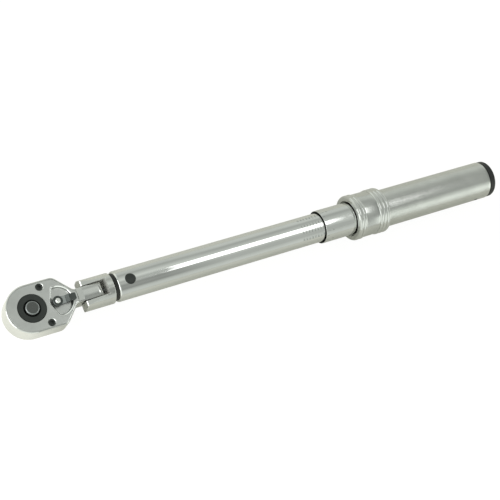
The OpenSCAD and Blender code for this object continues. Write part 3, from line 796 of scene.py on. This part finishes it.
def make_tube():
    """The tube, with the pin's hole and long grooves in which the lock balls sit."""
    end = high("main_tube", X)
    groove_r, groove_height, groove_count = 1.6 * MM, 12.15 * MM, 12
    piece = lathe("chromed_tube", [(TUBE_X, TUBE_BORE), (TUBE_X, TUBE_R, 1.2 * MM),
                                   (end, TUBE_R, 0.5 * MM), (end, TUBE_BORE)], segments=256)
    cut(piece, upright_rod("pin_hole", PIVOT_X, 0, half_width("pivot_pin"), AXIS_Z - 15 * MM,
                           AXIS_Z + 15 * MM))
    round_edges(piece, 0.12 * MM, 2, angle=50)
    groove = axial_rod("groove", BALL_X - 20 * MM, BALL_X + 5 * MM, groove_r, segments=32)
    groove.data.transform(Matrix.Translation((0, 0, groove_height)))
    cut(piece, repeated_round(groove, groove_count))
    settle(piece, "main_tube")


make_tube()
refined("pivot_pin", "click_pivot_pin", 0.1 * MM, segments=2)


def make_seal():
    """The rubber ring in the tube's mouth, with a lip before it."""
    front, rear = low("dust_seal", X), high("dust_seal", X)
    inner, face = 8.85 * MM, 9.8 * MM
    profile = [(front, inner), (front, face, 0.5 * MM), (TUBE_X, face), (TUBE_X, TUBE_BORE),
               (rear, TUBE_BORE), (rear, inner)]
    settle(lathe("lip_seal", profile), "dust_seal")


make_seal()


# ---- Thimble, lock ring, grip and cap ----

def make_thimble():
    """The sleeve over the tube, with a gap at its mouth whose faces are painted black as shade, and
    holes for the lock balls.
    """
    bore = TUBE_R + 0.08 * MM
    mouth = THIMBLE_R - 0.35 * MM
    gap_end, end = THIMBLE_X + 1.8 * MM, high("thimble_sleeve", X)
    piece = lathe("thimble", [(THIMBLE_X, mouth), (THIMBLE_X, THIMBLE_R, 0.2 * MM), (end, THIMBLE_R),
                              (end, bore), (gap_end, bore), (gap_end, mouth)])
    hole = upright_rod("ball_hole", BALL_X, 0, 1.55 * MM, AXIS_Z + 8 * MM, AXIS_Z + 16 * MM)
    cut(piece, repeated_round(hole, 3))

    def in_painted_shade_mouth(face):
        radius = math.hypot(face.center.y, face.center.z - AXIS_Z)
        return face.center.x < gap_end + 0.1 * MM and radius < mouth + 0.05 * MM

    # Black oxide on the mouth's faces is a painted shade in the gap between the thimble and the tube
    paint(piece, MATERIALS["thimble_chrome"], MATERIALS["black_oxide"], in_painted_shade_mouth)
    settle(piece, "thimble_sleeve")


def bead_points(x, width, valley, crest):
    """(station, radius) points over one rounded bead."""
    turns = [math.pi * k / 12 for k in range(13)]
    return [(x + width * (1 - math.cos(a)) / 2, valley + (crest - valley) * math.sin(a)) for a in turns]


def collar_bore(mouth_end, rear):
    """The lock ring's inside from its rear: the wire's groove, then the land and relief at the balls."""
    bore = THIMBLE_R + 0.1 * MM
    land, relief = 13.85 * MM, 14.4 * MM
    wire_x, wire_half, wire_groove = middle("detent_ring", X), 0.8 * MM, 14.1 * MM
    return [(rear, bore), (wire_x + wire_half, bore), (wire_x + wire_half, wire_groove),
            (wire_x - wire_half, wire_groove), (wire_x - wire_half, bore),
            (BALL_X + 5.8 * MM, bore), (BALL_X + 5.8 * MM, land), (BALL_X + 2.8 * MM, land),
            (BALL_X + 1.5 * MM, relief), (BALL_X - 2 * MM, relief), (BALL_X - 2 * MM, bore),
            (mouth_end, bore)]


def make_collar():
    """The lock ring: two beads at its front, a satin waist and three beads at its rear."""
    front, rear = low("lock_collar", X), high("lock_collar", X)
    crest = half_width("lock_collar")
    valley, waist = crest - 0.9 * MM, crest - 0.6 * MM
    width, lead, shoulder = 3.1 * MM, 0.4 * MM, 1.4 * MM
    mouth_r, mouth_end = THIMBLE_R + 1.0 * MM, front + 4.3 * MM
    waist_start, waist_end = front + shoulder + 2 * width, rear - shoulder - 3 * width
    profile = [(mouth_end, mouth_r), (front, mouth_r, 0.4 * MM), (front, valley - 0.2 * MM, 0.4 * MM)]
    for k in (0, 1):
        profile += bead_points(front + lead + k * width, width, valley, crest)
    profile += [(waist_start, waist), (waist_end, waist)]
    for k in (3, 2, 1):
        profile += bead_points(rear - lead - k * width, width, valley, crest)
    profile.append((rear, valley - 0.6 * MM))
    piece = lathe("lock_ring", profile + collar_bore(mouth_end, rear))
    near = 0.1 * MM
    paint(piece, MATERIALS["collar_chrome"], BEAD_CHROME,
          lambda face: not waist_start - near < face.center.x < waist_end + near)
    settle(piece, "lock_collar")


def knurled_shell(name, rings, around, crest, depth):
    """A closed shell over (station, radius) rings; without a radius, crest and valley alternate."""
    verts = []
    for j, (x, radius) in enumerate(rings):
        for i in range(around):
            angle = 2 * math.pi * i / around
            r = radius if radius is not None else crest - (depth if (i + j) % 2 else 0)
            verts.append((x, r * math.cos(angle), AXIS_Z + r * math.sin(angle)))
    faces = []
    for j in range(len(rings)):
        after = (j + 1) % len(rings)
        knurled = rings[j][1] is None or rings[after][1] is None
        for i in range(around):
            beside = (i + 1) % around
            a, b = j * around + i, j * around + beside
            c, d = after * around + beside, after * around + i
            if not knurled:
                faces.append([a, b, c, d])
            elif (i + j) % 2 == 0:
                faces += [[a, b, d], [b, c, d]]
            else:
                faces += [[a, b, c], [a, c, d]]
    return solid(name, verts, faces)


def make_grip():
    """A diamond knurl of real pyramids, between two turned ends."""
    front, rear = low("grip_sleeve", X), high("grip_sleeve", X)
    crest = half_width("grip_sleeve")
    bore = THIMBLE_R
    around, pitch, depth = 184, 0.52 * MM, 0.03 * MM
    start, end = front + 0.6 * MM, rear - 1.6 * MM
    rows = int((end - start) / pitch)
    flat = crest - depth / 2
    rings = [(front, bore), (front, crest - 0.7 * MM), (start, flat)]
    rings += [(start + (end - start) * j / rows, None) for j in range(1, rows)]
    rings += [(end, flat), (rear - 1.0 * MM, flat), (rear - 0.1 * MM, crest - 0.9 * MM),
              (rear, crest - 1.0 * MM), (rear, bore)]
    piece = knurled_shell("knurled_grip", rings, around, crest, depth)
    cut(piece, cross_rod("screw_hole", middle("grip_set_screw", X), AXIS_Z, 1.6 * MM, -20 * MM, -8 * MM))
    settle(piece, "grip_sleeve", sharp_angle=6)


def make_cap():
    """The end cap, a disc with a hollow plug that goes into the grip."""
    front, end = low("end_cap", X), high("end_cap", X)
    grip_end = high("grip_sleeve", X)
    rim = half_width("grip_sleeve") - 0.3 * MM
    plug, hollow = THIMBLE_R, THIMBLE_R - 2.5 * MM
    floor_x = grip_end + 1.5 * MM
    profile = [(end, 0), (end, rim, 1.8 * MM), (grip_end, rim, 0.2 * MM), (grip_end, plug),
               (front, plug), (front, hollow), (floor_x, hollow), (floor_x, 0)]
    settle(lathe("handle_cap", profile, closed=False), "end_cap")


make_thimble()
make_collar()
make_grip()
make_cap()


# ---- Scales: shallow inlays wrapped round the tube and the thimble ----

INLAY_RISE = 0.02 * MM


def wrap_mesh(mesh, x, angle, radius, turn):
    """Bends a flat mesh round the tube; turn is how far the lettering is rotated on the surface."""
    mesh.transform(Matrix.Rotation(math.radians(turn), 4, "Z"))
    for vert in mesh.vertices:
        along, around, rise = vert.co
        at = math.radians(angle) + around / radius
        reach = radius + rise
        vert.co = (x + along, reach * math.sin(at), AXIS_Z + reach * math.cos(at))


def numeral_mesh(text, height):
    """A number as a thin flat mesh, in the built-in font."""
    curve = bpy.data.curves.new("numeral", "FONT")
    curve.body = text
    curve.size = height
    curve.extrude = INLAY_RISE
    curve.align_x = "CENTER"
    curve.align_y = "CENTER"
    holder = bpy.data.objects.new("numeral", curve)
    bpy.context.scene.collection.objects.link(holder)
    depsgraph = bpy.context.evaluated_depsgraph_get()
    mesh = bpy.data.meshes.new_from_object(holder.evaluated_get(depsgraph))
    bpy.data.objects.remove(holder)
    return mesh


def tick_mesh(length, width):
    """A thin bar along Y, in steps that let it bend round the tube."""
    mesh = bpy.data.meshes.new("tick")
    steps = 12
    verts = [(x, length * (k / steps - 0.5), z) for k in range(steps + 1)
             for x in (-width / 2, width / 2) for z in (-INLAY_RISE, INLAY_RISE)]
    faces = [[0, 1, 3, 2], [4 * steps, 4 * steps + 2, 4 * steps + 3, 4 * steps + 1]]
    for k in range(steps):
        a = 4 * k
        for p, q in ((0, 1), (1, 3), (3, 2), (2, 0)):
            faces.append([a + p, a + q, a + 4 + q, a + 4 + p])
    mesh.from_pydata(verts, [], faces)
    return mesh


def scale_piece(name, marks, node):
    """Joins the marks, each a mesh already in place, into one inlay."""
    work = bmesh.new()
    for mesh in marks:
        work.from_mesh(mesh)
        bpy.data.meshes.remove(mesh)
    bmesh.ops.recalc_face_normals(work, faces=work.faces)
    mesh = bpy.data.meshes.new(name)
    work.to_mesh(mesh)
    work.free()
    piece = piece_from_mesh(name, mesh)
    settle(piece, node, hides=False, material=ENGRAVING)


def make_tube_scale():
    """A row of ticks, one for each turn of the handle, between two columns of numbers."""
    turns, pitch = 8, 2.54 * MM
    tick_length, tick_width, tick_angle = 6.8 * MM, 0.32 * MM, -7
    numeral_height = 2.0 * MM
    columns = ((-48, 100, -10), (36, 140, -14))
    marks = []
    for k in range(turns):
        x = THIMBLE_X - 1.2 * MM - pitch * k
        tick = tick_mesh(tick_length, tick_width)
        wrap_mesh(tick, x, tick_angle, TUBE_R, 0)
        marks.append(tick)
        for angle, start, step in columns:
            numeral = numeral_mesh(str(start + step * k), numeral_height)
            wrap_mesh(numeral, x, angle, TUBE_R, 90)
            marks.append(numeral)
    scale_piece("tube_scale", marks, "main_tube")


def make_thimble_scale():
    """Ticks along the thimble's front edge, every second one longer and numbered."""
    divisions, first_angle = 20, -36
    long_tick, short_tick, tick_width = 3.2 * MM, 1.8 * MM, 0.2 * MM
    tick_x, numeral_x = THIMBLE_X + 0.6 * MM, THIMBLE_X + 6.0 * MM
    numeral_height = 2.1 * MM
    marks = []
    for k in range(divisions):
        angle = 360 * k / divisions + first_angle
        numbered = k % 2 == 0
        length = long_tick if numbered else short_tick
        tick = tick_mesh(length, tick_width)
        wrap_mesh(tick, tick_x + length / 2, angle, THIMBLE_R, 90)
        marks.append(tick)
        if numbered:
            numeral = numeral_mesh(str(k // 2), numeral_height)
            wrap_mesh(numeral, numeral_x, angle, THIMBLE_R, -90)
            marks.append(numeral)
    scale_piece("thimble_scale", marks, "thimble_sleeve")


make_tube_scale()
make_thimble_scale()


# ---- Studio ----

# The light tent's cloth: each set of folds is (degrees from straight up toward +Y, brightness)
CLOTH_TINT = (0.955, 1.0, 0.935)
HEAD_FOLDS = ((-180, 0.75), (-120, 1.05), (-60, 1.25), (-35, 0.90), (-10, 0.68), (40, 0.68), (70, 1.0),
              (110, 1.1), (180, 0.75))
NEAR_FOLDS = ((-180, 0.70), (-98, 0.76), (-80, 0.77), (-68, 0.73), (-58, 0.56), (-50, 0.38), (-35, 0.43),
              (-22, 0.38), (-14, 0.50), (-8, 0.62), (6, 0.57), (12, 0.70), (20, 0.87), (28, 0.82),
              (36, 0.72), (51, 0.55), (58, 0.52), (68, 0.65), (100, 0.77), (180, 0.70))
MIDDLE_FOLDS = ((-180, 0.70), (-90, 0.80), (-78, 0.80), (-61, 0.68), (-54, 0.60), (-31, 0.61),
                (-22, 0.74), (12, 0.76), (27, 0.68), (43, 0.55), (51, 0.54), (60, 0.69),
                (70, 0.77), (180, 0.70))
FAR_FOLDS = ((-180, 0.40), (-98, 0.55), (-86, 1.75), (-56, 1.75), (-42, 0.55), (-15, 0.30), (20, 0.30),
             (50, 0.66), (72, 0.90), (95, 0.76), (115, 0.55), (180, 0.45))
END_FOLDS = ((-180, 1.05), (180, 1.05))
# Each set takes over from the one before it between two values of the X part of a direction
LATER_FOLDS = ((NEAR_FOLDS, 0.22, 0.27), (MIDDLE_FOLDS, 0.38, 0.42), (FAR_FOLDS, 0.545, 0.575),
               (END_FOLDS, 0.80, 0.88))


def cloth(tree, share, folds):
    """The tent's colour; share is the angle round the wrench as a part of the full turn."""
    ramp = add_node(tree, "ShaderNodeValToRGB")
    stops = ramp.color_ramp.elements
    while len(stops) < len(folds):
        stops.new(0.5)
    for stop, (angle, level) in zip(stops, folds):
        stop.position = (angle + 180) / 360
    for stop, (angle, level) in zip(stops, folds):
        stop.color = (*[level * c for c in CLOTH_TINT], 1)
    tree.links.new(share, ramp.inputs["Fac"])
    return ramp.outputs["Color"]


def make_world():
    """A light tent with darker folds, which change from above the wrench to past its grip."""
    world = bpy.data.worlds.new("studio")
    bpy.context.scene.world = world
    world.use_nodes = True
    tree = world.node_tree
    direction = axes(tree, "Generated")
    angle = maths(tree, "DEGREES", maths(tree, "ARCTAN2", direction["Y"], direction["Z"]))
    share = spread(tree, angle, 0, 1, -180, 180)
    shade = cloth(tree, share, HEAD_FOLDS)
    for folds, start, end in LATER_FOLDS:
        mixed = add_node(tree, "ShaderNodeMix", {"data_type": "RGBA"})
        tree.links.new(spread(tree, direction["X"], 0, 1, start, end), mixed.inputs[0])
        tree.links.new(shade, mixed.inputs[6])
        tree.links.new(cloth(tree, share, folds), mixed.inputs[7])
        shade = mixed.outputs[2]
    tree.links.new(shade, tree.nodes["Background"].inputs["Color"])


def softbox(name, centre, size, aim, radiance):
    """A rectangular light at centre, turned toward aim; radiance is how bright its cloth looks."""
    data = bpy.data.lights.new(name, "AREA")
    data.shape = "RECTANGLE"
    data.size, data.size_y = size
    data.energy = radiance * math.pi * size[0] * size[1]
    lamp = bpy.data.objects.new(name, data)
    bpy.context.scene.collection.objects.link(lamp)
    lamp.location = centre
    toward = Vector(aim) - Vector(centre)
    lamp.rotation_euler = toward.to_track_quat("-Z", "Y").to_euler()


def painted_paper_glow(tree):
    """Painted glow of the paper: most beyond the head as a painted pool of light, a little on both sides
    of the wrench, and none close beside it as a painted shadow.
    """
    place = axes(tree, "Object")
    past_head = spread(tree, place["X"], 0.5, 0.0, -0.005, 0.03)
    on_right = spread(tree, place["Y"], 0.14, 0.0, -0.10, -0.03)
    on_left = spread(tree, place["Y"], 0.0, 0.14, 0.0, 0.03)
    return maths(tree, "MAXIMUM", maths(tree, "ADD", on_right, on_left), past_head)


def make_paper():
    """A pale matt paper, which the camera sees mostly as an even white."""
    material = bpy.data.materials.new("floor_paper")
    material.use_nodes = True
    tree = material.node_tree
    shader = tree.nodes["Principled BSDF"]
    shader.inputs["Roughness"].default_value = 0.9
    shader.inputs["Specular IOR Level"].default_value = 0.0
    shader.inputs["Base Color"].default_value = (0.70, 0.69, 0.64, 1)
    shader.inputs["Emission Color"].default_value = (0.90, 0.89, 0.83, 1)
    # The paper's emission paints light beyond the head and leaves a painted shadow along the wrench
    tree.links.new(painted_paper_glow(tree), shader.inputs["Emission Strength"])
    white = add_node(tree, "ShaderNodeEmission", Color=(1, 1, 1, 1), Strength=1.1)
    rays = add_node(tree, "ShaderNodeLightPath")
    share = maths(tree, "MULTIPLY", rays.outputs["Is Camera Ray"], 0.85)
    mixed = add_node(tree, "ShaderNodeMixShader")
    tree.links.new(share, mixed.inputs["Fac"])
    tree.links.new(shader.outputs["BSDF"], mixed.inputs[1])
    tree.links.new(white.outputs["Emission"], mixed.inputs[2])
    tree.links.new(mixed.outputs["Shader"], tree.nodes["Material Output"].inputs["Surface"])
    return material


def make_floor():
    """A pale floor under the drive's tip and the lock ring."""
    half = 12.0
    top = cad_box[0][Z]
    verts = [(-half, -half, top), (half, -half, top), (half, half, top), (-half, half, top)]
    mesh = bpy.data.meshes.new("floor")
    mesh.from_pydata(verts, [], [[0, 1, 2, 3]])
    mesh.materials.append(make_paper())
    piece_from_mesh("floor", mesh)


def make_camera():
    """A long lens above and beyond the head, which sees the wrench's length foreshortened."""
    data = bpy.data.cameras.new("camera")
    data.sensor_width = 36
    data.lens = 91.44
    data.clip_start = 0.01
    camera = bpy.data.objects.new("camera", data)
    bpy.context.scene.collection.objects.link(camera)
    camera.rotation_mode = "ZYX"
    camera.rotation_euler = [math.radians(angle) for angle in (13.39, -26.19, -16.39)]
    camera.location = (-0.2396, -0.1955, 0.8129 + AXIS_Z)
    bpy.context.scene.camera = camera


make_world()
make_floor()
softbox("overhead_softbox", centre=(0.768, -0.01, 1.2), size=(0.335, 0.62), aim=(0.768, -0.01, 0),
        radiance=1.7)
softbox("left_softbox", centre=(-0.36, -0.02, 0.16), size=(0.42, 0.22), aim=(0, 0, 0), radiance=3.0)
make_camera()
bpy.context.scene.view_settings.view_transform = "Standard"
